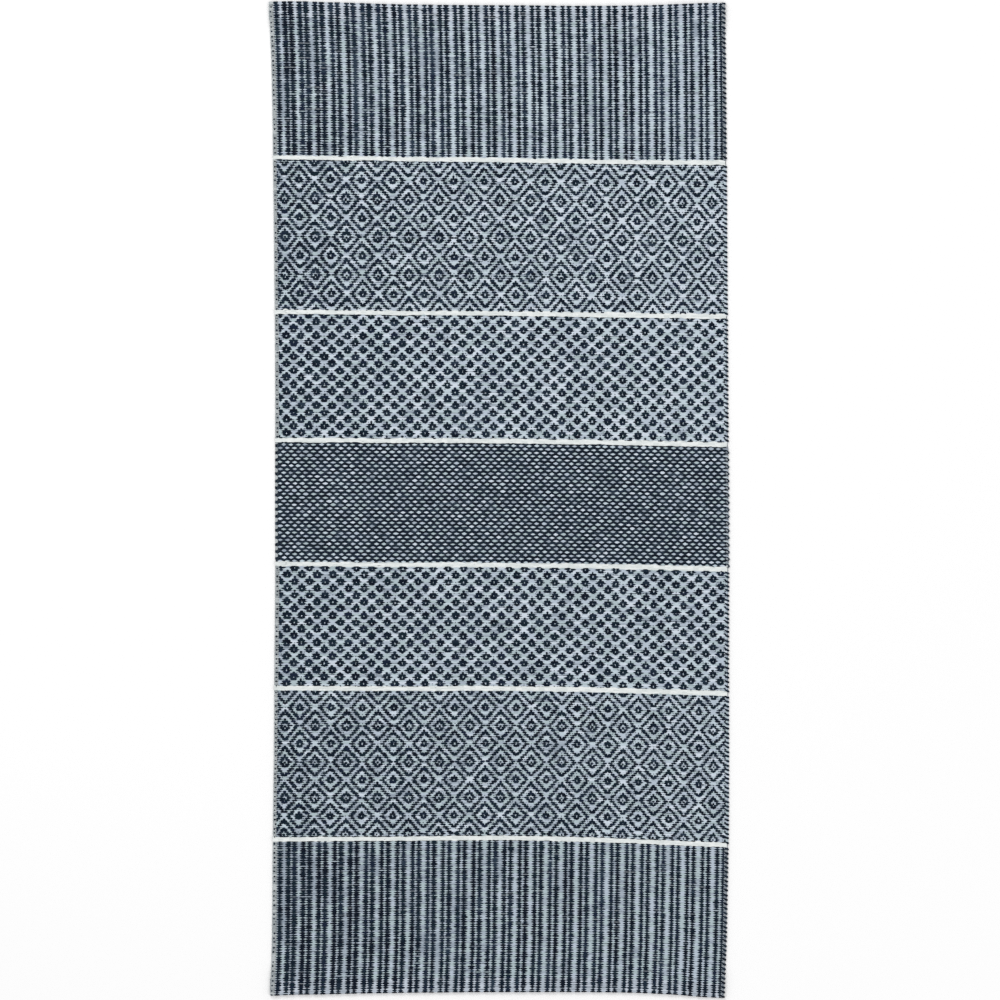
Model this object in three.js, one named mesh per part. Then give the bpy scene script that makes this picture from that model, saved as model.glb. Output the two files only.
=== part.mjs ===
// Outdoor rug, flat-woven, lying face up on the floor.
// One sheet of cloth: woven selvedges along both long sides, and a hem at each short end where the cloth is folded
// under itself and lies double. Between the hems the cloth rests flat on the floor.
// Millimetres, +Z up. X runs across the rug, Y along it. The origin is at the middle of the outline, on the floor.
import * as THREE from "three";
import { mergeVertices } from "three/addons/utils/BufferGeometryUtils.js";

// ---- driving dimensions -------------------------------------------------------------------------------------------
const CLOTH_THICK = 3; // the weave, warp and two layers of weft
const HEM_DEPTH = 24; // from the fold to the raw edge of the turned-under strip
const HEM_RAMP = 30; // length over which the cloth comes down from the hem to the floor
const FOLD_RADIUS = CLOTH_THICK; // outer radius of the fold at each end
const SELVEDGE_ROUND = CLOTH_THICK / 2; // radius of the rounded long edges
const CORNER_DRAW = 0.8; // how far the corners are drawn in at the fold
const COLUMNS = 24; // facets across
const FIELD_ROWS = 32; // facets along, between the hems' ramps
const RAMP_ROWS = 4; // facets along each ramp
const FOLD_STEPS = [0, 30, 60, 90]; // degrees round the fold, from its outermost line to the top

// Where the two selvedges run, a row for each station along the rug. The cloth is a little narrower near its ends and
// bellies out towards its middle, more on the left than on the right.
const SIDES = [
  { along: -751.6, left: -346.0, right: 341.8 },
  { along: -718.2, left: -344.6, right: 343.0 },
  { along: -665.4, left: -343.0, right: 345.1 },
  { along: -605.0, left: -342.4, right: 346.2 },
  { along: -544.6, left: -342.1, right: 347.4 },
  { along: -484.2, left: -341.4, right: 348.3 },
  { along: -363.4, left: -339.9, right: 348.5 },
  { along: -242.6, left: -339.2, right: 348.4 },
  { along: -121.8, left: -338.0, right: 348.6 },
  { along: -1.0, left: -338.1, right: 348.4 },
  { along: 119.8, left: -338.0, right: 347.6 },
  { along: 240.6, left: -338.4, right: 346.9 },
  { along: 361.4, left: -339.6, right: 345.9 },
  { along: 482.2, left: -341.0, right: 345.3 },
  { along: 603.0, left: -342.6, right: 344.3 },
  { along: 663.4, left: -344.1, right: 343.8 },
  { along: 708.7, left: -346.0, right: 343.1 },
  { along: 751.6, left: -347.9, right: 342.8 },
];

// Where the two folded ends run, a row for each station across the rug. Both ends bow in at the middle and reach
// furthest out at the corners.
const ENDS = [
  { across: -348.3, near: -750.2, far: 751.8 },
  { across: -312.6, near: -748.4, far: 752.4 },
  { across: -270.3, near: -747.8, far: 751.3 },
  { across: -215.9, near: -746.5, far: 749.7 },
  { across: -149.5, near: -745.4, far: 747.8 },
  { across: -58.9, near: -744.5, far: 746.7 },
  { across: 61.9, near: -744.2, far: 745.9 },
  { across: 122.3, near: -744.2, far: 745.4 },
  { across: 197.8, near: -745.1, far: 746.0 },
  { across: 235.6, near: -746.6, far: 746.8 },
  { across: 273.3, near: -748.7, far: 748.3 },
  { across: 303.5, near: -751.4, far: 749.4 },
  { across: 348.3, near: -753.4, far: 750.2 },
];

// ---- the outline --------------------------------------------------------------------------------------------------
// Smooth value of one column of a table at a station: a cubic through the rows, with slopes taken from the neighbours.
function along(table, station, column, at) {
  const n = table.length;
  let i = 0;
  while (i < n - 2 && at > table[i + 1][station]) i++;
  const slope = (k) => {
    const a = table[Math.max(0, k - 1)];
    const b = table[Math.min(n - 1, k + 1)];
    return (b[column] - a[column]) / (b[station] - a[station]);
  };
  const p = table[i];
  const q = table[i + 1];
  const step = q[station] - p[station];
  const t = (at - p[station]) / step;
  const t2 = t * t;
  const t3 = t2 * t;
  return (
    (2 * t3 - 3 * t2 + 1) * p[column] +
    (t3 - 2 * t2 + t) * step * slope(i) +
    (3 * t2 - 2 * t3) * q[column] +
    (t3 - t2) * step * slope(i + 1)
  );
}
const leftAt = (y) => along(SIDES, "along", "left", y);
const rightAt = (y) => along(SIDES, "along", "right", y);
const nearAt = (x) => along(ENDS, "across", "near", x);
const farAt = (x) => along(ENDS, "across", "far", x);
const mix = (a, b, t) => a + (b - a) * t;
const smooth = (t) => t * t * (3 - 2 * t);

// ---- rows from the near end to the far end ------------------------------------------------------------------------
// Each row says how far it is from an end (or what share of the field it has passed), the height of the cloth's
// underside and top there, and how much the corners are drawn in.
function endRows(end) {
  const rows = [];
  for (const degrees of FOLD_STEPS) {
    const a = (degrees * Math.PI) / 180;
    rows.push({
      end,
      inset: FOLD_RADIUS * (1 - Math.cos(a)),
      low: FOLD_RADIUS - FOLD_RADIUS * Math.sin(a),
      high: FOLD_RADIUS + FOLD_RADIUS * Math.sin(a),
      draw: CORNER_DRAW * (1 - Math.sin(a)),
    });
  }
  const double = 2 * CLOTH_THICK;
  rows.push({ end, inset: HEM_DEPTH / 2, low: 0, high: double, draw: 0 });
  rows.push({ end, inset: HEM_DEPTH, low: 0, high: double, draw: 0 }); // the raw edge of the turned-under strip
  rows.push({ end, inset: HEM_DEPTH, low: CLOTH_THICK, high: double, draw: 0 });
  for (let i = 1; i <= RAMP_ROWS; i++) {
    const low = CLOTH_THICK * (1 - smooth(i / RAMP_ROWS));
    rows.push({
      end,
      inset: HEM_DEPTH + (HEM_RAMP * i) / RAMP_ROWS,
      low,
      high: low + CLOTH_THICK,
      draw: 0,
    });
  }
  return rows;
}
const rows = [...endRows("near")];
for (let i = 1; i < FIELD_ROWS; i++)
  rows.push({ share: i / FIELD_ROWS, low: 0, high: CLOTH_THICK, draw: 0 });
rows.push(...endRows("far").reverse());

// A point's place along the rug for a row, at a place across it.
function alongAt(row, x) {
  if (row.end === "near") return nearAt(x) + row.inset;
  if (row.end === "far") return farAt(x) - row.inset;
  const reach = HEM_DEPTH + HEM_RAMP;
  return mix(nearAt(x) + reach, farAt(x) - reach, row.share);
}

// ---- the closed section at one row --------------------------------------------------------------------------------
// From the left selvedge round over the top to the right selvedge and back along the underside. The same number of
// points on every row, so that neighbouring rows join face to face.
function section(row) {
  const middle = alongAt(row, 0);
  const left = leftAt(middle) + row.draw;
  const right = rightAt(middle) - row.draw;
  const round = Math.min(SELVEDGE_ROUND, (row.high - row.low) / 2);
  const points = [];
  const put = (x, z) => points.push(new THREE.Vector3(x, alongAt(row, x), z));
  for (const degrees of [0, 45]) {
    const a = (degrees * Math.PI) / 180;
    put(left + round * (1 - Math.cos(a)), row.high - round + round * Math.sin(a));
  }
  for (let i = 0; i <= COLUMNS; i++) put(mix(left + round, right - round, i / COLUMNS), row.high);
  for (const degrees of [45, 0]) {
    const a = (degrees * Math.PI) / 180;
    put(right - round * (1 - Math.cos(a)), row.high - round + round * Math.sin(a));
  }
  for (const degrees of [0, 45]) {
    const a = (degrees * Math.PI) / 180;
    put(right - round * (1 - Math.cos(a)), row.low + round - round * Math.sin(a));
  }
  for (let i = COLUMNS; i >= 0; i--) put(mix(left + round, right - round, i / COLUMNS), row.low);
  for (const degrees of [45, 0]) {
    const a = (degrees * Math.PI) / 180;
    put(left + round * (1 - Math.cos(a)), row.low + round - round * Math.sin(a));
  }
  return points;
}

// ---- the solid ----------------------------------------------------------------------------------------------------
const sections = rows.map(section);
const count = sections[0].length;
const box = new THREE.Box3().setFromPoints(sections.flat());
const centre = box.getCenter(new THREE.Vector3());
const positions = [];
for (const p of sections.flat()) positions.push(p.x - centre.x, p.y - centre.y, p.z - box.min.z);
const corners = [];
for (let r = 0; r + 1 < sections.length; r++)
  for (let k = 0; k < count; k++) {
    const a = r * count + k;
    const b = r * count + ((k + 1) % count);
    const c = b + count;
    const d = a + count;
    corners.push(a, c, d, a, b, c);
  }

// Points that fall together at the folds and the raw edges become one point, and the faces that vanish there are left
// out, which closes the ends of the loft.
const loft = new THREE.BufferGeometry();
loft.setAttribute("position", new THREE.Float32BufferAttribute(positions, 3));
loft.setIndex(corners);
const joined = mergeVertices(loft, 1e-3);
const faces = [];
const at = joined.index.array;
for (let i = 0; i < at.length; i += 3)
  if (at[i] !== at[i + 1] && at[i + 1] !== at[i + 2] && at[i] !== at[i + 2])
    faces.push(at[i], at[i + 1], at[i + 2]);
joined.setIndex(faces);
joined.computeVertexNormals();

const cloth = new THREE.MeshStandardMaterial({ color: 0x6f7983, roughness: 0.75, metalness: 0 });
const rug = new THREE.Mesh(joined, cloth);
rug.name = "rug";

const part = new THREE.Group();
part.add(rug);
export default part;
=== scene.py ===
# Outdoor rug, flat-woven from dark blue and pale grey plastic weft, lying face up on a pale floor.
# Every float of weft that shows is its own small pillow of mesh, laid by a weave chart on the rug's own curved rows.
import math

import bpy
import numpy as np
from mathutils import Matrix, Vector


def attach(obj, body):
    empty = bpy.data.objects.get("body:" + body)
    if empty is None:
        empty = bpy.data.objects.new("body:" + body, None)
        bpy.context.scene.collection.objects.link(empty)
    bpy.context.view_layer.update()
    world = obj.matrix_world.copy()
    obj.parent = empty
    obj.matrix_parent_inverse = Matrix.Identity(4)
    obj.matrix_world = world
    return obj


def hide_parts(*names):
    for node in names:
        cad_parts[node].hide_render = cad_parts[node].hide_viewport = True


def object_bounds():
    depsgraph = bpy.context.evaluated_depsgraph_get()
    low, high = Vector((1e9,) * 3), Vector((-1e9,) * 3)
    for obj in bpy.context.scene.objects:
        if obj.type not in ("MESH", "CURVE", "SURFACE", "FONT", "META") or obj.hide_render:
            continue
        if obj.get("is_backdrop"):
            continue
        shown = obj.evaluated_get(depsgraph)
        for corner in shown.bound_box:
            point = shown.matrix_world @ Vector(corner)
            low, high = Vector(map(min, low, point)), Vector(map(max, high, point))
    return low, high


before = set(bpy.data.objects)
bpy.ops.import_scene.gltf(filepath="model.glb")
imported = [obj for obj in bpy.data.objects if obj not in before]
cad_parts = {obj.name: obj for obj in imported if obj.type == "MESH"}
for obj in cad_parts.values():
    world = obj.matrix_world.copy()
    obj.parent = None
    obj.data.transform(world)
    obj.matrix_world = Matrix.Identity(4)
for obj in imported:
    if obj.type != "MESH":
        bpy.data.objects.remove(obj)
cad_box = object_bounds()

# ---- sizes, in millimetres unless said otherwise --------------------------------------------------------------------
MM = 0.001
MIDDLE_X, MIDDLE_Y = 0.53, -0.35  # the outline's middle, in the tables' own numbers
THICK = 3.0  # the cloth, from the crowns of the face floats to those of the back floats
HALF = THICK / 2
HEM = 24.0  # turned-under strip, from the fold to its raw edge
RAMP = 30.0  # the cloth comes down from the hem to the floor over this length
FOLD = THICK  # outer radius of the fold
GROUND = 1.5  # thickness of the ground cloth between the face floats and the back floats
WARPS = 238  # warp units from selvedge to selvedge
LINE = 5.9  # width of a white line, three picks
rng = np.random.default_rng(70150)

# Where the two selvedges run, a row for each station along the rug
SIDES = [
    {"along": -751.6, "left": -346.0, "right": 341.8},
    {"along": -718.2, "left": -344.6, "right": 343.0},
    {"along": -665.4, "left": -343.0, "right": 345.1},
    {"along": -605.0, "left": -342.4, "right": 346.2},
    {"along": -544.6, "left": -342.1, "right": 347.4},
    {"along": -484.2, "left": -341.4, "right": 348.3},
    {"along": -363.4, "left": -339.9, "right": 348.5},
    {"along": -242.6, "left": -339.2, "right": 348.4},
    {"along": -121.8, "left": -338.0, "right": 348.6},
    {"along": -1.0, "left": -338.1, "right": 348.4},
    {"along": 119.8, "left": -338.0, "right": 347.6},
    {"along": 240.6, "left": -338.4, "right": 346.9},
    {"along": 361.4, "left": -339.6, "right": 345.9},
    {"along": 482.2, "left": -341.0, "right": 345.3},
    {"along": 603.0, "left": -342.6, "right": 344.3},
    {"along": 663.4, "left": -344.1, "right": 343.8},
    {"along": 708.7, "left": -346.0, "right": 343.1},
    {"along": 751.6, "left": -347.9, "right": 342.8},
]
# Where the two folded ends run, a row for each station across the rug
ENDS = [
    {"across": -348.3, "near": -750.2, "far": 751.8},
    {"across": -312.6, "near": -748.4, "far": 752.4},
    {"across": -270.3, "near": -747.8, "far": 751.3},
    {"across": -215.9, "near": -746.5, "far": 749.7},
    {"across": -149.5, "near": -745.4, "far": 747.8},
    {"across": -58.9, "near": -744.5, "far": 746.7},
    {"across": 61.9, "near": -744.2, "far": 745.9},
    {"across": 122.3, "near": -744.2, "far": 745.4},
    {"across": 197.8, "near": -745.1, "far": 746.0},
    {"across": 235.6, "near": -746.6, "far": 746.8},
    {"across": 273.3, "near": -748.7, "far": 748.3},
    {"across": 303.5, "near": -751.4, "far": 749.4},
    {"across": 348.3, "near": -753.4, "far": 750.2},
]
# The middles of the six white lines, a row for each station across the rug
LINES = [
    {"across": -300.5, "w1": 515.8, "w2": 283.1, "w3": 89.6, "w4": -97.6, "w5": -285.1, "w6": -513.1},
    {"across": -149.5, "w1": 513.8, "w2": 281.6, "w3": 88.8, "w4": -98.9, "w5": -285.7, "w6": -512.4},
    {"across": 1.5, "w1": 512.2, "w2": 280.7, "w3": 88.2, "w4": -99.3, "w5": -285.4, "w6": -511.2},
    {"across": 152.5, "w1": 509.8, "w2": 278.6, "w3": 86.2, "w4": -101.2, "w5": -287.7, "w6": -514.3},
    {"across": 303.5, "w1": 508.4, "w2": 276.5, "w3": 83.4, "w4": -104.5, "w5": -291.9, "w6": -520.5},
]
# How far the warps lie to the right of even spacing, in millimetres
DRIFT = [
    {"warp": 0, "shift": -0.2},
    {"warp": 8, "shift": -1.3},
    {"warp": 17, "shift": -2.0},
    {"warp": 42, "shift": -0.15},
    {"warp": 68, "shift": 1.35},
    {"warp": 93, "shift": 0.75},
    {"warp": 118, "shift": 1.05},
    {"warp": 143, "shift": 0.85},
    {"warp": 168, "shift": 0.85},
    {"warp": 194, "shift": 0.75},
    {"warp": 219, "shift": -0.2},
    {"warp": 226, "shift": -0.65},
    {"warp": 232, "shift": -1.65},
    {"warp": 238, "shift": -2.4},
]
# The bands from the far end to the near end. rows is how many weft rows fit between its white lines, which needn't be
# whole. first is the chart row of row 0, start is where row 0 begins, in rows past the band's far edge, and warp is the
# warp unit where the chart's first column starts. left and right are how far the band's columns are shifted at its two
# sides, in millimetres.
BANDS = [
    {"name": "stripes_far", "chart": "stripes", "rows": 64.0, "first": 0, "start": 0.0, "warp": -0.38, "left": 0.0, "right": 0.7},
    {"name": "diamonds_far", "chart": "diamonds", "rows": 63.3, "first": 0, "start": -0.32, "warp": 5.80, "left": -0.2, "right": 0.0},
    {"name": "dots_far", "chart": "dots", "rows": 53.6, "first": 5, "start": -0.17, "warp": 5.37, "left": 1.4, "right": 0.3},
    {"name": "middle", "chart": "dashes", "rows": 34.0, "first": 0, "start": 0.17, "warp": 1.18, "left": 0.3, "right": 0.4},
    {"name": "dots_near", "chart": "dots", "rows": 53.0, "first": 5, "start": 0.16, "warp": 5.37, "left": 2.7, "right": 0.0},
    {"name": "diamonds_near", "chart": "diamonds", "rows": 65.0, "first": 1, "start": 0.06, "warp": 5.80, "left": -0.4, "right": -0.5},
    {"name": "stripes_near", "chart": "stripes", "rows": 66.0, "first": 0, "start": 0.0, "warp": -0.38, "left": 0.7, "right": -0.3},
]


# ---- the curves that everything follows -----------------------------------------------------------------------------
def along(table, station, column, at):
    """A smooth curve through one column of a table: cubic pieces, with slopes taken from the neighbours."""
    s = np.array([row[station] for row in table])
    v = np.array([row[column] for row in table])
    slope = np.empty_like(v)
    slope[1:-1] = (v[2:] - v[:-2]) / (s[2:] - s[:-2])
    slope[0] = (v[1] - v[0]) / (s[1] - s[0])
    slope[-1] = (v[-1] - v[-2]) / (s[-1] - s[-2])
    at = np.asarray(at, float)
    i = np.clip(np.searchsorted(s, at) - 1, 0, len(s) - 2)
    step = s[i + 1] - s[i]
    t = np.clip((at - s[i]) / step, -0.3, 1.3)
    t2, t3 = t * t, t * t * t
    return (
        (2 * t3 - 3 * t2 + 1) * v[i]
        + (t3 - 2 * t2 + t) * step * slope[i]
        + (3 * t2 - 2 * t3) * v[i + 1]
        + (t3 - t2) * step * slope[i + 1]
    )


def left(t):
    return along(SIDES, "along", "left", np.clip(t, -752, 752))


def right(t):
    return along(SIDES, "along", "right", np.clip(t, -752, 752))


def near(x):
    return along(ENDS, "across", "near", x)


def far(x):
    return along(ENDS, "across", "far", x)


OVER_FOLD = FOLD * (math.pi / 2 - 1)  # the face is this much longer than the outline, round the fold


def edge_of(index, x):
    """The place along the rug of band edge number index: 0 and 7 are the ends, 1 to 6 the white lines' middles."""
    if index == 0:
        return far(x) + OVER_FOLD
    if index == 7:
        return near(x) - OVER_FOLD
    return along(LINES, "across", "w%d" % index, x)


def band_span(b, x):
    high = edge_of(b, x) - (LINE / 2 if b > 0 else 0)
    low = edge_of(b + 1, x) + (LINE / 2 if b < 6 else 0)
    return high, low


def row_at(b, r, x):
    """Place along the rug of row r of band b, where r counts from the band's far edge and can be a fraction."""
    high, low = band_span(b, x)
    return high + (low - high) * r / BANDS[b]["rows"]


def pitch_at(b, x):
    high, low = band_span(b, x)
    return (high - low) / BANDS[b]["rows"]


def across_at(u, t, b=None):
    """Place across the rug of warp unit u, at place t along it, in band b."""
    u = np.asarray(u, float)
    lo, hi = left(t), right(t) - 0.6
    x = lo + (hi - lo) * u / WARPS
    part = np.clip(u / WARPS, 0, 1)
    held = np.clip(np.minimum(u, WARPS - u) / 6, 0, 1)  # the selvedges keep to the edges
    shift = along(DRIFT, "warp", "shift", np.clip(u, 0, WARPS))
    if b is not None:
        shift = shift + BANDS[b]["left"] * (1 - part) + BANDS[b]["right"] * part
    return x + held * shift


def ease(f):
    return f * f * (3 - 2 * f)


def mid_height(x, t):
    """Height of the middle of the cloth over the floor."""
    inside = np.minimum(far(x) - t, t - near(x))
    f = np.clip((inside - HEM) / RAMP, 0, 1)
    return HALF + THICK * (1 - ease(f))


def place(x, t, h):
    """The point over place (x, t) of the face, h above the middle of the cloth. Past an end it goes round the fold and on
    under the hem. Metres, in the row frame."""
    x, t, h = np.broadcast_arrays(np.asarray(x, float), np.asarray(t, float), np.asarray(h, float))
    at_far = t > 0
    end = np.where(at_far, far(x), near(x))
    way = np.where(at_far, 1.0, -1.0)
    bend = end - way * FOLD
    past = (t - bend) * way
    angle = np.clip(past / FOLD, 0, math.pi)
    under = np.maximum(past - FOLD * math.pi, 0)
    y = np.where(past <= 0, t, bend + way * (HALF + h) * np.sin(angle) - way * under)
    z = np.where(past <= 0, mid_height(x, t) + h, THICK + (HALF + h) * np.cos(angle))
    return np.stack([(x - MIDDLE_X) * MM, (y - MIDDLE_Y) * MM, np.maximum(z, 0.02) * MM], -1)


# ---- materials ------------------------------------------------------------------------------------------------------
def linear(rgb, by=1.0):
    return tuple(
        by * ((c / 255 / 12.92) if c / 255 <= 0.04045 else ((c / 255 + 0.055) / 1.055) ** 2.4) for c in rgb
    ) + (1.0,)


def strand_material(name, rgb, rough, shine, uneven):
    """Flat plastic yarn: its colour goes a little up and down along the strand, with fine creases along the weft."""
    mat = bpy.data.materials.new(name)
    mat.use_nodes = True
    nt = mat.node_tree
    p = nt.nodes["Principled BSDF"]
    p.inputs["Roughness"].default_value = rough
    p.inputs["Specular IOR Level"].default_value = shine
    where = nt.nodes.new("ShaderNodeTexCoord")
    along_weft = nt.nodes.new("ShaderNodeMapping")
    along_weft.inputs["Scale"].default_value = (260, 700, 300)
    shade = nt.nodes.new("ShaderNodeTexNoise")
    shade.inputs["Scale"].default_value = 1.0
    shade.inputs["Detail"].default_value = 1.0
    ramp = nt.nodes.new("ShaderNodeValToRGB")
    ramp.color_ramp.elements[0].position, ramp.color_ramp.elements[1].position = 0.25, 0.75
    ramp.color_ramp.elements[0].color = linear(rgb, (1 - uneven))
    ramp.color_ramp.elements[1].color = linear(rgb, (1 + uneven))
    stretch = nt.nodes.new("ShaderNodeMapping")
    stretch.inputs["Scale"].default_value = (320, 2000, 1200)
    creases = nt.nodes.new("ShaderNodeTexNoise")
    creases.inputs["Scale"].default_value = 1.0
    creases.inputs["Detail"].default_value = 2.0
    bump = nt.nodes.new("ShaderNodeBump")
    bump.inputs["Strength"].default_value = 0.5
    bump.inputs["Distance"].default_value = 0.00006
    nt.links.new(where.outputs["Object"], along_weft.inputs["Vector"])
    nt.links.new(along_weft.outputs["Vector"], shade.inputs["Vector"])
    nt.links.new(shade.outputs["Fac"], ramp.inputs["Fac"])
    nt.links.new(ramp.outputs["Color"], p.inputs["Base Color"])
    nt.links.new(where.outputs["Object"], stretch.inputs["Vector"])
    nt.links.new(stretch.outputs["Vector"], creases.inputs["Vector"])
    nt.links.new(creases.outputs["Fac"], bump.inputs["Height"])
    nt.links.new(bump.outputs["Normal"], p.inputs["Normal"])
    return mat


# Tones of each yarn, with the share of floats that have each at the far end of the rug and at the near end
# Where the near shares lean to darker tones, that is painted shade: the light falling off towards the near end.
YARNS = {
    "dark": [
        {"rgb": (8, 17, 31), "far": 0.17, "near": 0.24},
        {"rgb": (11, 24, 38), "far": 0.22, "near": 0.30},
        {"rgb": (16, 32, 43), "far": 0.16, "near": 0.16},
        {"rgb": (25, 38, 52), "far": 0.18, "near": 0.14},
        {"rgb": (20, 31, 50), "far": 0.08, "near": 0.06},
        {"rgb": (37, 51, 66), "far": 0.13, "near": 0.09},
        {"rgb": (52, 65, 78), "far": 0.05, "near": 0.03},
    ],
    "light": [
        {"rgb": (198, 208, 219), "far": 0.15, "near": 0.04},
        {"rgb": (184, 198, 207), "far": 0.31, "near": 0.14},
        {"rgb": (173, 185, 198), "far": 0.28, "near": 0.26},
        {"rgb": (166, 182, 188), "far": 0.15, "near": 0.30},
        {"rgb": (156, 168, 180), "far": 0.07, "near": 0.20},
        {"rgb": (143, 155, 168), "far": 0.04, "near": 0.08},
    ],
    "hem_light": [
        {"rgb": (186, 195, 206), "far": 0.4, "near": 0.2},
        {"rgb": (176, 185, 197), "far": 0.4, "near": 0.4},
        {"rgb": (164, 174, 185), "far": 0.2, "near": 0.4},
    ],
    "grey": [
        {"rgb": (160, 166, 168), "far": 0.4, "near": 0.3},
        {"rgb": (146, 153, 156), "far": 0.4, "near": 0.4},
        {"rgb": (176, 182, 184), "far": 0.2, "near": 0.3},
    ],
    "dull": [
        {"rgb": (142, 149, 155), "far": 0.5, "near": 0.3},
        {"rgb": (126, 134, 142), "far": 0.3, "near": 0.4},
        {"rgb": (108, 117, 127), "far": 0.2, "near": 0.3},
    ],
    "white": [
        {"rgb": (217, 222, 221), "far": 0.45, "near": 0.45},
        {"rgb": (209, 215, 214), "far": 0.30, "near": 0.30},
        {"rgb": (225, 229, 228), "far": 0.25, "near": 0.25},
    ],
}
SHINE = {"dark": 0.06, "light": 0.3, "hem_light": 0.3, "grey": 0.2, "dull": 0.15, "white": 0.3}
ROUGH = {"dark": 0.5, "light": 0.6, "hem_light": 0.6, "grey": 0.7, "dull": 0.7, "white": 0.65}
materials, first_tone = [], {}
for yarn, tones in YARNS.items():
    first_tone[yarn] = len(materials)
    for i, one in enumerate(tones):
        materials.append(strand_material("%s_yarn_%d" % (yarn, i), one["rgb"], ROUGH[yarn], SHINE[yarn], 0.07))


def tone(yarn, count, b=3):
    """Material numbers for count floats of one yarn in band b, drawn at random."""
    # darker tones towards the near end: painted shade, the light falling off
    down = b / 6
    share = np.array([(1 - down) * one["far"] + down * one["near"] for one in YARNS[yarn]])
    return first_tone[yarn] + rng.choice(len(share), count, p=share / share.sum())


def patchy_tone(yarn, b, u, r, loose=0.8, lean=0.0, column=0.0, spread=1.0, down_list=0.0):
    """Material numbers for floats of one yarn at warps u and rows r of band b, alike in patches some warps wide and some
    rows deep, with loose saying how much each float goes its own way, lean how far down the list it leans, column how much each
    stripe of four warps differs from the next, spread how much of the list is used and down_list how far down it."""
    if len(u) == 0:
        return np.zeros(0, int)
    field = rng.normal(0, 1, (24, 64))
    x = np.clip(np.asarray(u, float) / 4.2, 0, 61.9)
    y = np.clip((np.asarray(r, float) + 9) / 9.0, 0, 21.9)
    i, j = y.astype(int), x.astype(int)
    fy, fx = ease(y - i), ease(x - j)
    patch = (field[i, j] * (1 - fx) + field[i, j + 1] * fx) * (1 - fy)
    patch = patch + (field[i + 1, j] * (1 - fx) + field[i + 1, j + 1] * fx) * fy
    stripe = column * rng.normal(0, 1, 64)[np.clip((np.asarray(u, float) + 1) / 4, 0, 63).astype(int)]
    value = patch + loose * rng.normal(0, 1, len(x)) + lean + stripe
    place_in_line = 0.5 + down_list + spread * (np.argsort(np.argsort(value)) / len(x) - 0.5)
    # darker tones towards the near end: painted shade, the light falling off
    down = b / 6
    share = np.array([(1 - down) * one["far"] + down * one["near"] for one in YARNS[yarn]])
    return first_tone[yarn] + np.searchsorted(np.cumsum(share / share.sum())[:-1], place_in_line)


# ---- meshes from many small strips ----------------------------------------------------------------------------------
class Weave:
    """Gathers strips of mesh and makes one object of them."""

    def __init__(self, name):
        self.name = name
        self.points, self.faces, self.tones, self.strips, self.plans, self.strip_tones = [], [], [], [], [], []
        self.count, self.strip_count = 0, 0

    def add(self, points, faces, tones, plan):
        """points: (n, v, 3). faces: corner numbers in one strip. tones: n material numbers. plan: (v, 2), where each point
        lies on the strip spread flat, from 0 to 1."""
        n, v = points.shape[:2]
        if n == 0:
            return
        start = self.count + np.arange(n)[:, None] * v
        strip = self.strip_count + np.arange(n)
        for size in (3, 4):
            some = np.array([f for f in faces if len(f) == size])
            if len(some) == 0:
                continue
            self.faces.append((start[:, :, None] + some[None]).reshape(-1, size))
            self.tones.append(np.repeat(tones, len(some)))
        self.points.append(points.reshape(-1, 3))
        self.strips.append(np.repeat(strip, v))
        self.plans.append(np.tile(np.asarray(plan, float), (n, 1)))
        self.strip_tones.append(np.asarray(tones))
        self.count += n * v
        self.strip_count += n

    def triangles(self):
        return sum(len(f) * (f.shape[1] - 2) for f in self.faces)

    def flat_map(self):
        """Every strip has a cell of its own on the map, like-toned ones side by side."""
        tones = np.concatenate(self.strip_tones)
        order = np.argsort(tones, kind="stable")
        cell = np.empty(len(order), int)
        cell[order] = np.arange(len(order))
        columns = max(1, int(math.sqrt(len(order) / 2.2)))
        lines = -(-len(order) // columns)
        cell = cell[np.concatenate(self.strips)]
        inner = 0.06 + 0.88 * np.concatenate(self.plans)
        return np.stack([(cell % columns + inner[:, 0]) / columns, (cell // columns + inner[:, 1]) / lines], 1)

    def build(self):
        mesh = bpy.data.meshes.new(self.name)
        points = np.concatenate(self.points).astype(np.float32)
        corners = np.concatenate([f.ravel() for f in self.faces]).astype(np.int32)
        sizes = np.concatenate([np.full(len(f), f.shape[1]) for f in self.faces]).astype(np.int32)
        tones = np.concatenate(self.tones).astype(np.int32)
        mesh.vertices.add(len(points))
        mesh.vertices.foreach_set("co", points.ravel())
        mesh.loops.add(len(corners))
        mesh.loops.foreach_set("vertex_index", corners)
        mesh.polygons.add(len(sizes))
        starts = np.concatenate([[0], np.cumsum(sizes)[:-1]]).astype(np.int32)
        mesh.polygons.foreach_set("loop_start", starts)
        mesh.polygons.foreach_set("loop_total", sizes)
        used = sorted(set(tones.tolist()))
        for m in used:
            mesh.materials.append(materials[m])
        slot = np.zeros(max(used) + 1, np.int32)
        slot[used] = np.arange(len(used))
        mesh.polygons.foreach_set("material_index", slot[tones])
        mesh.polygons.foreach_set("use_smooth", np.ones(len(sizes), bool))
        plan = mesh.uv_layers.new(name="OFBake")
        plan.uv.foreach_set("vector", self.flat_map()[corners].astype(np.float32).ravel())
        mesh.update()
        mesh.validate()
        obj = bpy.data.objects.new(self.name, mesh)
        bpy.context.scene.collection.objects.link(obj)
        print(self.name, self.triangles(), "triangles")
        return obj


def pillow_faces(stations):
    """Corner numbers of a pillow: a tip, stations rows of three points, a tip. The face looks up when the first tip is on
    the left."""
    end = 3 * stations + 1
    faces = [(0, 1, 2), (0, 2, 3)]
    for k in range(stations - 1):
        a, b = 1 + 3 * k, 4 + 3 * k
        faces += [(a, b, b + 1, a + 1), (a + 1, b + 1, b + 2, a + 2)]
    a = 1 + 3 * (stations - 1)
    faces += [(a, end, a + 1), (a + 1, end, a + 2)]
    return faces


def pillow_plan(stations):
    plan = [(0, 0.5)]
    for k in range(stations):
        plan += [((k + 1) / (stations + 1), v) for v in (0, 0.5, 1)]
    return plan + [(1, 0.5)]


# Heights over the middle of the cloth: of the dark floats' crowns, which lie over the others, and of the pale ones'
CROWN, UNDER = 1.50, 1.27


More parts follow.
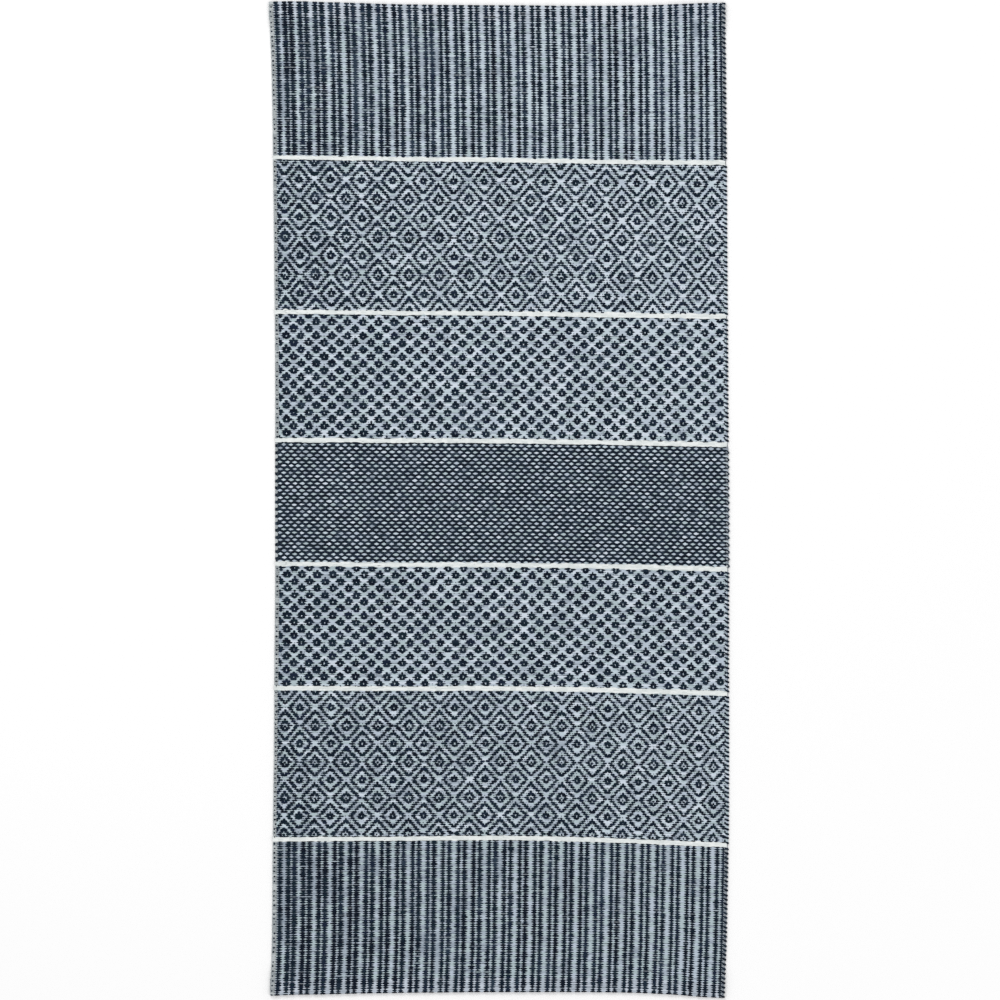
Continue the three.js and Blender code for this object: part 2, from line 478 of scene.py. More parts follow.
def on_rows(b, u, r):
    """Places across and along for warps u and rows r of band b."""
    t = row_at(b, r, -341.0 + u / WARPS * 688.0)
    x = across_at(u, t, b)
    t = row_at(b, r, x)
    return across_at(u, t, b), t


def pillows(weave, b, a, z, r, wide, tones, crown=CROWN, taper=0.7, drop=0.25, tip=1.15):
    """Adds a pillow for each float, with its tips at warps a and z, on row r of band b. wide is its half width in row
    pitches, which it reaches taper warps from each tip; a pair of tapers is for the left and the right. crown, drop and
    tip are heights: of its crown over the middle of the cloth, from there down to its sides, and of its tips."""
    n = len(a)
    if n == 0:
        return
    a, z, r = np.asarray(a, float), np.asarray(z, float), np.asarray(r, float)
    pair = taper if isinstance(taper, tuple) else (taper, taper)
    wide, crown, first, last = (np.broadcast_to(np.asarray(v, float), (n,)) for v in (wide, crown, *pair))
    long = z - a
    fit = np.minimum(1, 0.9 * long / (first + last))
    first, last = first * fit, last * fit
    for which in (long < 3.9, long >= 3.9):
        if not which.any():
            continue
        T, s, e = long[which][:, None], first[which][:, None], last[which][:, None]
        if T[0, 0] >= 3.9:
            d, share = np.concatenate([0.45 * s, s, T - e, T - 0.45 * e], 1), np.array([0.6, 1, 1, 0.6])
        else:
            d, share = np.concatenate([s, (s + T - e) / 2, T - e], 1), np.array([0.94, 1, 0.94])
        u = a[which][:, None] + np.concatenate([T * 0, d, T], 1)
        x, t = on_rows(b, u, r[which][:, None] + 0 * u)
        w = wide[which][:, None] * share * pitch_at(b, x[:, 1:-1])
        top = tip + (crown[which][:, None] - tip) * ease(np.clip(np.minimum(d, T - d) / 0.8, 0, 1))
        parts = [place(x[:, :1], t[:, :1], tip - 0.1)]
        for k in range(d.shape[1]):
            for side in (-1, 0, 1):
                h = top[:, k] - abs(side) * drop
                parts.append(place(x[:, k + 1], t[:, k + 1] + side * w[:, k], h)[:, None])
        parts.append(place(x[:, -1:], t[:, -1:], tip - 0.1))
        stations = d.shape[1]
        weave.add(np.concatenate(parts, 1), pillow_faces(stations), tones[which], pillow_plan(stations))


def specks(weave, b, u, r, tones, long=0.34, wide=0.15, high=1.34):
    """Adds a small flat dash for each place where the other weft shows between two floats."""
    n = len(u)
    if n == 0:
        return
    share = np.array([-1.0, -0.5, 0.5, 1.0])
    uu = u[:, None] + long * share
    x, t = on_rows(b, uu, r[:, None] + 0 * uu)
    step = pitch_at(b, x)
    parts = [place(x[:, :1], t[:, :1], high - 0.2)]
    for k in (1, 2):
        for e in (-1, 1):
            parts.append(place(x[:, k], t[:, k] + e * wide * step[:, k], high)[:, None])
    parts.append(place(x[:, 3:], t[:, 3:], high - 0.2))
    plan = [(0, 0.5), (0.3, 0), (0.3, 1), (0.7, 0), (0.7, 1), (1, 0.5)]
    weave.add(np.concatenate(parts, 1), [(0, 1, 2), (1, 3, 4, 2), (3, 5, 4)], tones, plan)


def back_pillows(weave, b, a, z, r, tones):
    """Adds a plain six-sided float on the back for each: with its tips at warps a and z, on row r of band b."""
    n = len(a)
    if n == 0:
        return
    cut = np.minimum(0.3, 0.9 / (z - a))
    share = np.stack([np.zeros(n), cut, 1 - cut, np.ones(n)], 1)
    u = a[:, None] + (z - a)[:, None] * share
    x, t = on_rows(b, u, r[:, None] + np.zeros_like(share))
    step = pitch_at(b, x)
    parts = [place(x[:, :1], t[:, :1], -0.9)]
    for k in (1, 2):
        for e in (-1, 1):
            parts.append(place(x[:, k], t[:, k] + e * 0.46 * step[:, k], -1.46)[:, None])
    parts.append(place(x[:, 3:], t[:, 3:], -0.9))
    plan = [(0, 0.5), (0.3, 0), (0.3, 1), (0.7, 0), (0.7, 1), (1, 0.5)]
    weave.add(np.concatenate(parts, 1), [(0, 2, 1), (1, 2, 4, 3), (3, 4, 5)], tones, plan)


def cords(weave, b, r, path, tones, side=0):
    """Adds a strand that may turn on its way, for each row in r. path has a row for each station: u in warps (from the
    edge when side is -1 for the left or 1 for the right), dr in rows, h in millimetres over the middle of the cloth,
    wide, its half width in millimetres, and drop, from its crown to its sides. The first and last stations are its tips."""
    r = np.asarray(r, float)
    n, m = len(r), len(path)
    if n == 0:
        return
    u = np.array([s["u"] for s in path])
    u = np.broadcast_to(WARPS - u if side > 0 else u, (n, m))
    x, t = on_rows(b, u, r[:, None] + np.array([s["dr"] for s in path]))
    dx, dt = np.gradient(x, axis=1), np.gradient(t, axis=1)
    size = np.hypot(dx, dt) + 1e-9
    nx, nt = -dt / size, dx / size
    if side > 0:
        nx, nt = -nx, -nt  # the path runs towards the right edge or back, and the strand's face still looks up
    parts = []
    for k, s in enumerate(path):
        for e in (0,) if s["wide"] == 0 else (-1, 0, 1):
            h = s["h"] - abs(e) * s.get("drop", 0.4)
            parts.append(place(x[:, k] + e * s["wide"] * nx[:, k], t[:, k] + e * s["wide"] * nt[:, k], h)[:, None])
    faces = pillow_faces(m - 2)
    if side > 0:
        faces = [f[::-1] for f in faces]
    weave.add(np.concatenate(parts, 1), faces, tones, pillow_plan(m - 2))


# ---- weave charts ---------------------------------------------------------------------------------------------------
# Each says, for chart row k and chart column j, whether the dark weft lies over the face there.
def stripes(k, j):
    return np.isin(j % 8, (0, 1, 3, 4)) & (k > -999)


def diamonds(k, j):
    """Rings of diamonds round a pale middle at column 8, row 8 and round a dark point between four of them."""
    x = (j % 16) - 8
    y = (k % 16) - 8
    d = np.abs(x) + np.abs(y)
    dark = np.isin(d % 4, (1, 2)) | (d == 16)
    dark &= ~((x == 0) & np.isin(y, (2, 6)))
    dark &= ~((np.abs(x) == 8) & np.isin(k % 16, (3, 7)))
    return dark


def dots(k, j):
    """Small diamonds with a pale eye, each row of them half a repeat to the side of the last."""
    half = (k % 6) // 3
    row = k % 3
    x = (j + 4 + 4 * half) % 8 - 4
    a = np.abs(x)
    lower = (row == 0) & ((a == 0) | (a >= 3))
    middle = (row == 1) & (a <= 1)
    wide = (row == 2) & ((a == 1) | (a == 2))
    return lower | middle | wide


CHARTS = {"stripes": stripes, "diamonds": diamonds, "dots": dots}


def chart_rows(b, first_row, last_row):
    """A band's chart, True where the dark weft is over the face: the matrix, its rows and the warp of its first column."""
    band = BANDS[b]
    rows = np.arange(first_row, last_row)
    first = int(math.floor(-band["warp"])) - 1
    columns = np.arange(first, first + WARPS + 12)
    return CHARTS[band["chart"]]((rows + band["first"])[:, None] % 4800, columns[None, :]), rows, band["warp"] + first


def runs(matrix, rows, warp):
    """Runs of True in each row: the row's place in the matrix, its number, and the run's first and last warp."""
    edge = np.zeros((len(matrix), 1), bool)
    change = np.diff(np.concatenate([edge, matrix, edge], 1).astype(int), axis=1)
    at, starts = np.nonzero(change == 1)
    _, ends = np.nonzero(change == -1)
    return at, rows[at], warp + starts, warp + ends


LEFT_STRIP, RIGHT_STRIP = 2.25, 236.5  # the woven field runs between these warps
NARROW_STRIP = 1.75  # where it starts in the bands of diamonds and dots
# How each chart's floats lie. dark_at and pale_at are where in its row a weft runs, and half its half width, both in row
# pitches; reach is how far its tips run past the first and last warp, and taper the length of its point, in warps.
LAY = {
    "stripes": {
        "dark_at": 0.19, "pale_at": 0.69, "dark_half": 0.47, "pale_half": 0.535, "dark_reach": 0.54, "pale_reach": 0.80,
        "dark_taper": 1.05,
    },
    "diamonds": {
        "dark_at": 0.66, "pale_at": 0.17, "dark_half": 0.48, "pale_half": 0.55, "dark_reach": 0.48, "pale_reach": 0.35,
        "dark_taper": 0.75,
    },
    "dots": {
        "dark_at": 0.64, "pale_at": 0.17, "dark_half": 0.48, "pale_half": 0.55, "dark_reach": 0.50, "pale_reach": 0.35,
        "dark_taper": 0.8,
    },
}
# The dark floats of the stripes are drawn a little out of even spacing: where each one starts and stops, in warps
STRIPE_EDGES = [
    {"chart": 0, "start": -0.20, "stop": 2.12},
    {"chart": 3, "start": 3.00, "stop": 5.43},
]
# Floats of the diamonds and dots that lie otherwise: the point at the top of a motif, the three warps under it, and the
# three warps at a motif's bottom with the short pick that peeps out below them
OTHERS = {
    "diamonds": {
        "point": {"at": 0.93, "half": 0.54, "reach": 0.22, "taper": 0.35},
        "upper": {"at": 0.81, "half": 0.52, "reach": 0.42, "taper": 0.55},
        "lower": {"at": 0.52, "half": 0.53, "reach": 0.36, "taper": 0.75},
        "below": {"at": 0.99, "half": 0.30, "reach": -0.72, "taper": 0.50},
    },
    "dots": {
        "point": {"at": 0.91, "half": 0.54, "reach": 0.24, "taper": 0.35},
        "upper": {"at": 0.82, "half": 0.54, "reach": 0.50, "taper": 0.55},
        "lower": {"at": 0.50, "half": 0.54, "reach": 0.36, "taper": 0.85},
        "below": {"at": 1.00, "half": 0.30, "reach": -0.62, "taper": 0.50},
    },
}
HEM_ROWS = 7  # rows of the hem that show from above


def pick_by_pick(rows, amount, every=30, whole=0.6):
    """How one weft pick differs from the next, slowly changing along its length: a function of warp and row. whole is
    the share of it that is the same all along a pick, and there a thick one has thin ones beside it."""
    field = rng.normal(0, amount, (rows + 30, WARPS // every + 3))
    field = (1 - whole) * field + whole * np.diff(rng.normal(0, amount, (rows + 31, 1)), axis=0) / math.sqrt(2)

    def value(u, r):
        i = np.clip(np.round(r).astype(int) + 12, 0, rows + 29)
        x = np.clip(np.asarray(u, float) / every, 0, WARPS / every)
        j = x.astype(int)
        f = ease(x - j)
        return field[i, j] * (1 - f) + field[i, j + 1] * f

    return value


def weave_band(face, back, b):
    band = BANDS[b]
    lay = LAY[band["chart"]]
    plain = band["chart"] == "stripes"
    lie, swell = (pick_by_pick(math.ceil(band["rows"]), v) for v in ((0.035, 0.05) if plain else (0.055, 0.10)))
    left_strip = LEFT_STRIP if plain else NARROW_STRIP
    first_row, last_row = (-8 if b == 0 else -2), math.ceil(band["rows"]) + (8 if b == 6 else 2)
    chart, rows, warp = chart_rows(b, first_row - 1, last_row + 1)

    def inside(middle):
        return ((b == 0) | (middle > -0.15)) & ((b == 6) | (middle < band["rows"] + 0.15))

    def in_hem(r):
        return (b == 0) & (r < HEM_ROWS) | (b == 6) & (r >= band["rows"] - HEM_ROWS)

    # the dark floats, which lie over the pale ones
    at, r, u0, u1 = runs(chart[1:-1], rows[1:-1], warp)
    at = at + 1
    centre = np.clip(np.round((u0 + u1) / 2 - 0.5 - warp).astype(int), 0, chart.shape[1] - 1)
    long = u1 - u0
    shape = {key: np.full(len(r), lay["dark_" + key]) for key in ("at", "half", "reach", "taper")}
    lower = np.zeros(len(r), bool)
    if not plain:
        over = chart[at - 1, centre]
        lower = (long == 3) & ~over
        others = OTHERS[band["chart"]]
        for which, how in (((long == 1), "point"), ((long == 3) & over, "upper"), (lower, "lower")):
            for key in shape:
                shape[key][which] = others[how][key]
    if plain:
        column = np.round(u0 - band["warp"]).astype(int) % 8
        for edge in STRIPE_EDGES:
            which = column == edge["chart"]
            u0, u1 = u0 + which * (edge["start"] - edge["chart"]), u1 + which * (edge["stop"] - edge["chart"] - 2)
    middle = r + band["start"] + shape["at"] + rng.normal(0, 0.05 if plain else 0.07, len(r)).clip(-0.2, 0.2)
    middle = middle + lie(u0, r).clip(-0.15, 0.15)
    hem = in_hem(r)
    loose = np.full((2, len(r)), 0.20)
    if plain:  # the narrow pale stripe between two dark ones has the straighter edges
        loose[:] = [np.where(column == 3, 0.14, 0.16), np.where(column == 0, 0.09, 0.15)]
    reach = shape["reach"] + loose * rng.normal(0, 1, (2, len(r))).clip(-2.1, 2.1)
    if plain:  # the dark floats round the fold and just past its beads are drawn in
        from_end = r + 0.0 if b == 0 else band["rows"] - 1 - r
        reach[0] += 0.14  # their left ends are the longer ones
        reach = reach - 0.3 * (from_end < -0.5) - 0.42 * (np.round(from_end) == 1)
    # the rug is a little darker towards its left side
    reach = reach + 0.07 * (1 - 2 * u0 / WARPS) + 0.18 * np.exp(-np.maximum(u0, 0) / 16.0)
    a, z = np.maximum(u0 - reach[0], left_strip - 0.1), np.minimum(u1 + reach[1], RIGHT_STRIP + 0.1)
    keep = inside(middle) & (z - a > 0.6) & (z > left_strip + 0.6) & (a < RIGHT_STRIP - 0.6)
    half = (shape["half"] + 0.04 * hem) * (1 + rng.normal(0, 0.08 if plain else 0.11, len(r)).clip(-0.28, 0.28))
    half = half * (1 + swell(u0, r).clip(-0.25, 0.25))
    if plain:
        keep &= np.round(from_end) != 0  # a bead takes its place
    crown = CROWN - 0.04 + rng.normal(0, 0.03, len(r)).clip(-0.1, 0.04)
    taper = shape["taper"]
    if not plain:
        # the two floats beside an eye are blunt towards it and run out to a long point away from it
        eye_right = (long == 2) & ~chart[at, np.clip(centre + 1, 0, chart.shape[1] - 1)]
        gap_right = np.array([~chart[k, c + 1] & chart[k, min(c + 2, chart.shape[1] - 1)] if c + 2 < chart.shape[1] else False
                              for k, c in zip(at, np.round(u1 - warp).astype(int) - 1)])
        gap_left = np.array([~chart[k, c - 1] & chart[k, c - 2] if c > 1 else False
                             for k, c in zip(at, np.round(u0 - warp).astype(int))])
        gap_left, gap_right = gap_left & (long == 2), gap_right & (long == 2)
        taper = (np.where(gap_left, 0.4, np.where(gap_right, 1.3, shape["taper"])),
                 np.where(gap_right, 0.4, np.where(gap_left, 1.3, shape["taper"])))
        a = a - np.where(gap_right, 0.10, 0.0)
        z = z + np.where(gap_left, 0.10, 0.0)
        taper = (taper[0][keep], taper[1][keep])
    else:
        second = column == 3
        z = np.minimum(z + 0.18 * second, RIGHT_STRIP + 0.1)
        taper = ((taper + 0.28)[keep], (taper + 0.35 * second)[keep])
    pillows(face, b, a[keep], z[keep], middle[keep], half[keep], patchy_tone("dark", b, a[keep], r[keep], 0.6 if plain else 1.8, 0.0, 0.6 * plain, 0.82 if plain else 0.75), crown[keep], taper)
    if lower.any():
        n = lower.sum()
        below = others["below"]
        mid, row = (u0[lower] + u1[lower]) / 2, r[lower] + band["start"] + below["at"] + rng.normal(0, 0.04, n)
        some = inside(row) & (mid - 0.8 > left_strip) & (mid + 0.8 < RIGHT_STRIP) & (rng.random(n) < 0.9)
        reach = 1.5 + below["reach"]
        pillows(face, b, mid[some] - reach, mid[some] + reach, row[some], below["half"], tone("dark", some.sum(), b),
                CROWN - 0.08, below["taper"])

    # the pale floats run on under the dark ones that lie beside them
    cover = chart[1:-1] if plain else chart[:-2] & chart[1:-1]
    _, r, u0, u1 = runs(~cover, rows[1:-1], warp)
    pieces = np.where(u1 - u0 > 5.4, np.round((u1 - u0) / 2.6), 1).astype(int)
    painted_light_middles = (u1 - u0 > 4.4) & (u1 - u0 < 5.6)  # the middles of the pale ground get its brightest tones: painted light, away from the painted shade beside the dark floats
    part = np.concatenate([np.arange(n) for n in pieces])
    r, u0, u1, pieces, painted_light_middles = (np.repeat(v, pieces) for v in (r, u0, u1, pieces, painted_light_middles))
    step = (u1 - u0) / pieces
    nudge = rng.normal(0, 0.25, (2, len(r))).clip(-0.5, 0.5)
    a = np.where(part == 0, u0 - lay["pale_reach"], u0 + part * step - 0.35 + nudge[0])
    z = np.where(part == pieces - 1, u1 + lay["pale_reach"], u0 + (part + 1) * step + 0.35 + nudge[1])
    a, z = np.maximum(a, left_strip - 0.1), np.minimum(z, RIGHT_STRIP + 0.1)
    middle = r + band["start"] + lay["pale_at"] + rng.normal(0, 0.06, len(r)).clip(-0.15, 0.15)
    middle = middle + (0.4 if plain else 1.0) * lie(a, r).clip(-0.15, 0.15)
    keep = inside(middle) & (z - a > 0.7) & (z > left_strip + 0.6) & (a < RIGHT_STRIP - 0.6)
    a, z, r, middle = a[keep], z[keep], r[keep], middle[keep]
    n = len(r)
    if plain:
        lean = np.where(z - a < 3.0, 0.05, 0.0)  # the narrow pale stripe lies in the shade of the dark ones beside it
    else:
        # in the diamonds and dots the pale floats beside the dark ones lean to darker tones, painted shade, and the
        # middles to lighter ones, painted light
        lean = np.where(painted_light_middles[keep], -0.9, 0.3)
    lean = lean + 0.6 - 1.2 * a / WARPS + 1.2 * np.exp(-a / 9.0)
    tones = np.where(
        in_hem(r),
        patchy_tone("hem_light", b, a, r),
        patchy_tone("light", b, a, r, 0.8 if plain else 1.7, lean, 0.25 * plain, *((0.74, 0.15) if plain else (1, 0))),
    )
    half = lay["pale_half"] * (1 + rng.normal(0, 0.07, n).clip(-0.2, 0.2)) * (1 - 0.5 * swell(a, r).clip(-0.25, 0.25))
    crown = UNDER - 0.03 + rng.normal(0, 0.03, n).clip(-0.08, 0.04)
    pillows(face, b, a, z, middle, half, tones, crown, 0.45, 0.34, 0.85)

    if plain:
        missed_picks(face, b)
    else:
        # eyes and pale points between dark floats, and dark specks between pale ones
        at, r, u0, u1 = runs(~chart[1:-1], rows[1:-1], warp)
        at = at + 1
        centre = np.clip(np.round((u0 + u1) / 2 - 0.5 - warp).astype(int), 0, chart.shape[1] - 1)
        over, below, mid = chart[at - 1, centre], chart[at + 1, centre], (u0 + u1) / 2
        which = (u1 - u0 == 1) & below & (mid > left_strip + 1) & (mid < RIGHT_STRIP - 1)
        level = r + band["start"] + np.where(over, 0.82, 0.60) + rng.normal(0, 0.08, len(r))
        which &= inside(level) & (rng.random(len(r)) < 0.93)
        n = which.sum()
        size = np.where(band["chart"] == "dots", 0.275, 0.26) * (1 + rng.normal(0, 0.24, n).clip(-0.45, 0.35))
        pillows(face, b, mid[which] - size, mid[which] + size, level[which], size,
                tone("light", n, b), CROWN - 0.02, 0.35, 0.10, 1.46)
        spots_u, spots_r = [], []
        for length, offset, chance in ((2, 0.0, 0.65), (5, 1.8, 0.7), (5, -1.8, 0.7), (3, 0.0, 0.25)):
            which = (u1 - u0 == length) & (rng.random(len(r)) < chance * (0.45 if band["chart"] == "dots" else 0.9))
            spots_u.append(mid[which] + offset)
            spots_r.append(r[which] + band["start"] + 0.68)
        spots_u, spots_r = np.concatenate(spots_u), np.concatenate(spots_r)
        spots_u = spots_u + rng.normal(0, 0.12, len(spots_u))
        spots_r = spots_r + rng.normal(0, 0.08, len(spots_r))
        which = inside(spots_r) & (spots_u > left_strip + 0.5) & (spots_u < RIGHT_STRIP - 0.5)
        specks(face, b, spots_u[which], spots_r[which], tone("dark", which.sum(), b))
    if plain:
        at, r, u0, u1 = runs(chart[1:-1], rows[1:-1], warp)
        column = np.round(u0 - band["warp"]).astype(int) % 8
        for edge in STRIPE_EDGES:
            which = column == edge["chart"]
            u0, u1 = u0 + which * (edge["start"] - edge["chart"]), u1 + which * (edge["stop"] - edge["chart"] - 2)
        inner = (u0 > left_strip - 0.5) & (u1 < RIGHT_STRIP + 0.5)
        fold_beads(face, b, u0[inner], u1[inner], r[inner])
    # the back shows the other weft, except where the hem hides it
    for dark in (True, False):
        at, r, u0, u1 = runs(chart[1:-1] == dark, rows[1:-1], warp)
        middle = r + band["start"] + (lay["pale_at"] if dark else lay["dark_at"])
        a, z = np.maximum(u0 - 0.6, left_strip), np.minimum(u1 + 0.6, RIGHT_STRIP)
        keep = (r >= (14 if b == 0 else 0)) & (r < band["rows"] - (14 if b == 6 else 0)) & inside(middle) & (z - a > 0.8)
        n = keep.sum()
        back_pillows(back, b, a[keep], z[keep], middle[keep], tone("light" if dark else "dark", n, b))


def fold_beads(face, b, u0, u1, r):
    """Over the fold the dark floats are drawn together into round beads."""
    which = r == (0 if b == 0 else round(BANDS[b]["rows"]) - 1)
    n = which.sum()
    level = (0.50 if b == 0 else BANDS[b]["rows"] - 0.50) + rng.normal(0, 0.08, n)
    more = 0.46 + rng.normal(0, 0.10, (2, n)).clip(-0.2, 0.2)
    half = 0.84 * (1 + rng.normal(0, 0.09, n).clip(-0.2, 0.2))
    pillows(
        face, b, u0[which] - more[0], u1[which] + more[1], level, half, first_tone["dark"] + rng.integers(0, 3, n), CROWN + 0.10, 0.62, 0.35, 1.1
    )


def missed_picks(face, b):
    """Here and there the dark weft has missed a place, and a thin pale one crosses the dark stripe."""
    band = BANDS[b]
    rows = int(band["rows"])
    n = int(rows * 59 * (0.040 - 0.010 * b / 6))
    pair = rng.integers(0, 30, n)
    start = band["warp"] + 8 * pair + rng.choice([0.0, 3.0], n, p=[0.5, 0.5])
    long = rng.choice([2.0, 5.0, 8.0], n, p=[0.76, 0.18, 0.06])
    a, z = start - 0.7, start + long + 0.7
    keep = (a > LEFT_STRIP - 0.5) & (z < RIGHT_STRIP + 0.5)
    a, z = a[keep], z[keep]
    n = len(a)
    r = rng.integers(1, rows - 1, n) + LAY["stripes"]["pale_at"]
    faint = rng.random(n) < 0.85
    pillows(
        face, b, a, z, r, np.where(faint, 0.12, 0.15), np.where(faint, tone("dull", n, b), tone("light", n, b)),
        CROWN + 0.03, 0.6, 0.15, 1.4,
    )


faces_made, backs_made = [], []
for b, band in enumerate(BANDS):
    if band["chart"] == "dashes":
        continue
    face, back = Weave("face_" + band["name"]), Weave("back_" + band["name"])
    weave_band(face, back, b)
    faces_made.append(face)
    backs_made.append(back)


# ---- the middle band: pale dashes between pairs of waving dark picks ------------------------------------------------
face, back = Weave("face_middle"), Weave("back_middle")
b = 3
rows = np.arange(int(BANDS[b]["rows"]))
DASH_ROW = 0.55 + BANDS[b]["start"]  # where in its row a dash lies
for odd in (0, 1):
    some = rows[rows % 2 == odd]
    start = BANDS[b]["warp"] + (0 if odd else 2) - 4
    u = np.arange(start, WARPS + 4, 4.0)
    rr, uu = [v.ravel() for v in np.meshgrid(some, u, indexing="ij")]
    keep = (uu > LEFT_STRIP - 1.8) & (uu + 3 < RIGHT_STRIP + 0.6)
    rr, uu = rr[keep], uu[keep]
    n = len(rr)
    ends = rng.normal(0, 0.14, (2, n)).clip(-0.3, 0.3)
    pillows(
        face,
        b,
        uu - 0.02 + ends[0],
        uu + 3.02 + ends[1],
        rr + DASH_ROW + rng.normal(0, 0.04, n),
        0.335 * (1 + rng.normal(0, 0.14, n).clip(-0.3, 0.3)),
        tone("light", n, 2),
        CROWN - 0.06 + rng.normal(0, 0.05, n).clip(-0.2, 0.05),
        (1.45 + rng.normal(0, 0.3, n).clip(-0.7, 0.5), 1.45 + rng.normal(0, 0.3, n).clip(-0.7, 0.5)),
        0.45,
        0.75,
    )
    back_pillows(back, b, uu + 1.7, uu + 5.3, rr + DASH_ROW, tone("light", n, 2))


def swing(u, r):
    """How far a dark pick swings to the side, in rows: round the dashes before it and after it."""
    row = np.round(r - BANDS[3]["start"])
    phase = (u - BANDS[3]["warp"] - 1.5) / 4.0 + 0.5 * (row % 2)
    return 0.17 * np.cos(2 * math.pi * phase)


def picks(weave, b, first, last, r, wide, yarn, wave, high, drop):
    """Adds strands that run right across, one for each row in r, in patches a warp long."""
    r = np.asarray(r, float)
    u = np.arange(first, last + 0.5, 1.0)
    n, m = len(r), len(u)
    uu = np.broadcast_to(u, (n, m))
    x, t = on_rows(b, uu, r[:, None] + wave(uu, r[:, None]))
    step = pitch_at(b, x)
    points = np.stack([place(x, t + e * wide * step, high - abs(e) * drop) for e in (-1, 0, 1)], 2)
    patches = np.stack([points[:, :-1], points[:, 1:]], 2).reshape(-1, 6, 3)
    tones = np.repeat(tone(yarn, n * m, b), 4)[: len(patches)]
    weave.add(patches, [(0, 3, 4, 1), (1, 4, 5, 2)], tones, [(0, 0), (0, 0.5), (0, 1), (1, 0), (1, 0.5), (1, 1)])


for offset in (-0.11, 0.12):
    picks(
        face, b, LEFT_STRIP - 0.45, RIGHT_STRIP + 0.3, np.arange(0, int(BANDS[b]["rows"]) + 1) + DASH_ROW - 0.5 + offset,
        0.13, "dark", swing, 1.25, 0.35,
    )
faces_made.append(face)
backs_made.append(back)


# ---- the white lines ------------------------------------------------------------------------------------------------
def smooth_noise(count, every):
    """Random numbers about 0 that change smoothly, with a new one every so many steps."""
    knots = rng.normal(0, 1, count // every + 3)
    at = np.arange(count) / every
    i = at.astype(int)
    f = ease(at - i)
    return knots[i] * (1 - f) + knots[i + 1] * f


white = Weave("white_lines")
for index in range(1, 7):
    for pick in (-1, 0, 1):
        u = np.arange(0.05, WARPS, 1.0)
        t = edge_of(index, -341.0 + u / WARPS * 688.0)
        x = across_at(u, t)
        sway = 0.32 * smooth_noise(len(u), 3) + 0.24 * smooth_noise(len(u), 1)
        t = edge_of(index, x) + pick * LINE * (0.325 if index == 1 else 0.350) + (sway if pick else 0.4 * sway)
        wide = LINE * (0.190 + 0.055 * u / WARPS) * (1.06 if index == 1 else 1.17) * (1 + 0.12 * smooth_noise(len(u), 2))
        for face_up in (True, False):
            way = 1 if face_up else -1
            crown = 1.54 if face_up else -1.46
            points = np.stack([place(x, t + e * wide, crown - way * abs(e) * 0.26) for e in (-1, 0, 1)], 1)
            if not face_up:
                points = points[::2]
            patches = np.stack([points[:-1], points[1:]], 1).reshape(-1, 6, 3)
            tones = np.repeat(tone("white", len(patches)), 3)[: len(patches)]
            faces = [(0, 3, 4, 1), (1, 4, 5, 2)] if face_up else [(1, 4, 3, 0), (2, 5, 4, 1)]
            white.add(patches, faces, tones, [(0, 0), (0, 0.5), (0, 1), (1, 0), (1, 0.5), (1, 1)])


# ---- the selvedges --------------------------------------------------------------------------------------------------
def loops(weave, b, r, wide, tones, side, inset=0.0, reach=3.0):
    """A weft that turns round a selvedge, from the face to the back. wide is its half width in row pitches."""
    path = [
        {"u": reach, "h": 0.5, "out": 90, "wide": 0.0},
        {"u": 0.75 * reach, "h": 1.30, "out": 90, "wide": 0.8},
        {"u": 0.40 * reach, "h": 1.40, "out": 90, "wide": 1.0},
        {"u": 0.30, "h": 1.08, "out": 45, "wide": 1.0},
        {"u": 0.0, "h": 0.0, "out": 0, "wide": 0.9},
        {"u": 0.30, "h": -1.10, "out": -45, "wide": 1.0},
        {"u": 1.2, "h": -1.46, "out": -90, "wide": 1.0},
        {"u": 3.0, "h": -0.6, "out": -90, "wide": 0.0},
    ]
    r = np.asarray(r, float)
    n = len(r)
    wide = np.broadcast_to(np.asarray(wide, float), (n,))
    parts = []
    for s in path:
        u = np.full(n, s["u"] + inset)
        x, t = on_rows(b, WARPS - u if side > 0 else u, r)
        step = pitch_at(b, x)
        a = math.radians(s["out"])
        for e in (0,) if s["wide"] == 0 else (-1, 0, 1):
            sink = 0.45 * abs(e)
            px = x - side * sink * math.cos(a)
            parts.append(place(px, t + e * s["wide"] * wide * step, s["h"] - sink * math.sin(a))[:, None])
    faces = pillow_faces(len(path) - 2)
    if side < 0:
        faces = [f[::-1] for f in faces]
    weave.add(np.concatenate(parts, 1), faces, tones, pillow_plan(len(path) - 2))


HOOK = [
    {"u": 2.6, "dr": -0.85, "h": 0.9, "wide": 0.0},
    {"u": 1.95, "dr": -0.60, "h": 1.50, "wide": 0.8, "drop": 0.15},
    {"u": 1.35, "dr": -0.22, "h": 1.60, "wide": 1.4, "drop": 0.12},
    {"u": 0.75, "dr": 0.05, "h": 1.60, "wide": 1.75, "drop": 0.12},
    {"u": 0.22, "dr": 0.14, "h": 1.25, "wide": 1.5, "drop": 0.15},
    {"u": -0.08, "dr": 0.16, "h": 0.3, "wide": 0.0},
]
CURL = [
    {"u": 2.9, "dr": -0.70, "h": 1.0, "wide": 0.0},
    {"u": 1.8, "dr": -0.62, "h": 1.52, "wide": 0.65, "drop": 0.15},
    {"u": 0.9, "dr": -0.45, "h": 1.58, "wide": 0.8, "drop": 0.12},
    {"u": 0.25, "dr": -0.10, "h": 1.40, "wide": 0.85, "drop": 0.12},
    {"u": 0.25, "dr": 0.28, "h": 1.40, "wide": 0.85, "drop": 0.12},
    {"u": 0.9, "dr": 0.50, "h": 1.58, "wide": 0.75, "drop": 0.12},
    {"u": 1.7, "dr": 0.45, "h": 1.50, "wide": 0.6, "drop": 0.15},
    {"u": 2.3, "dr": 0.25, "h": 1.0, "wide": 0.0},
]
